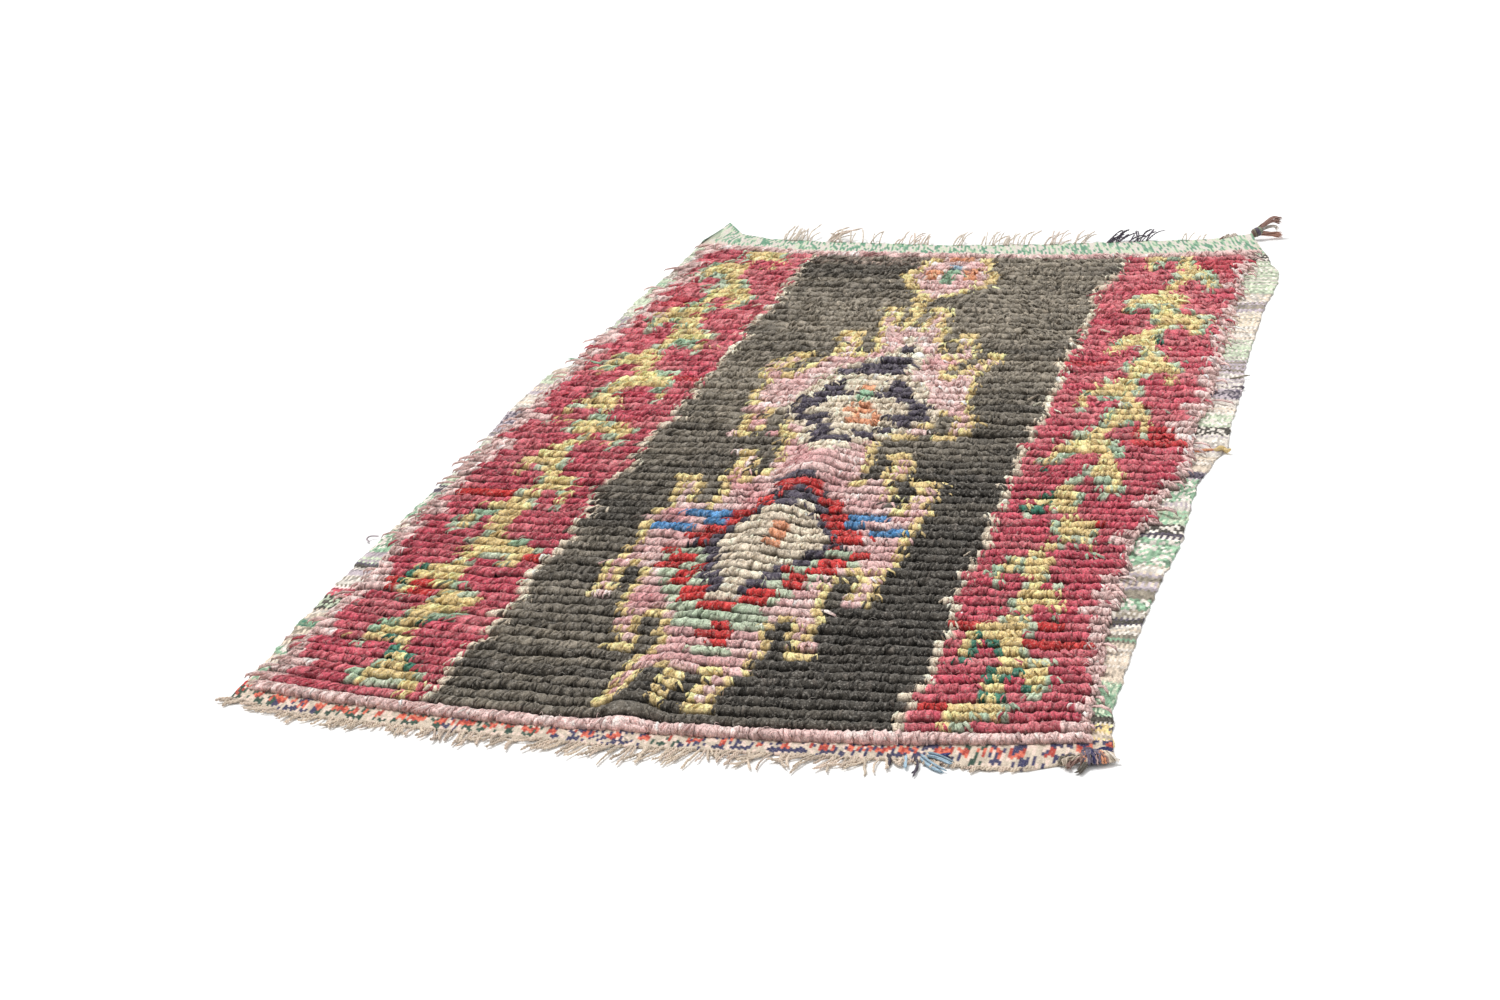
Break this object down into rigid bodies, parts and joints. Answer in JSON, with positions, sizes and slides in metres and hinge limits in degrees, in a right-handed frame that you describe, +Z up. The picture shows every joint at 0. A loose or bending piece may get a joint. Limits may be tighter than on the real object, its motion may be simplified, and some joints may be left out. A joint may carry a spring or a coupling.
{
  "type": "boucherouite rug",
  "caption": "Knotted rag rug lying flat, with a thick pile, flat-woven margins, a soft lengthwise fold, cut fringes and a corner tassel.",
  "frame": {"origin": "on the floor under the middle of the rug's overall box, fringes included", "axes": "+X across the rug to the right seen from the near end, +Y along it from the near fringe to the far fringe, +Z up out of the pile"},
  "size_m": [1.204, 2.444, 0.0403],
  "materials": {
    "rug_cloth": "matt wool and rag pile",
    "near_fringe": "matt twisted cord",
    "far_fringe": "matt twisted cord",
    "corner_tassel": "matt yarn",
    "corner_bundle": "matt yarn"
  },
  "bodies": {
    "root": {"rug_cloth": "rug_cloth", "near_fringe": "near_fringe", "far_fringe": "far_fringe", "corner_tassel": "corner_tassel", "corner_bundle": "corner_bundle"}
  },
  "joints": []
}
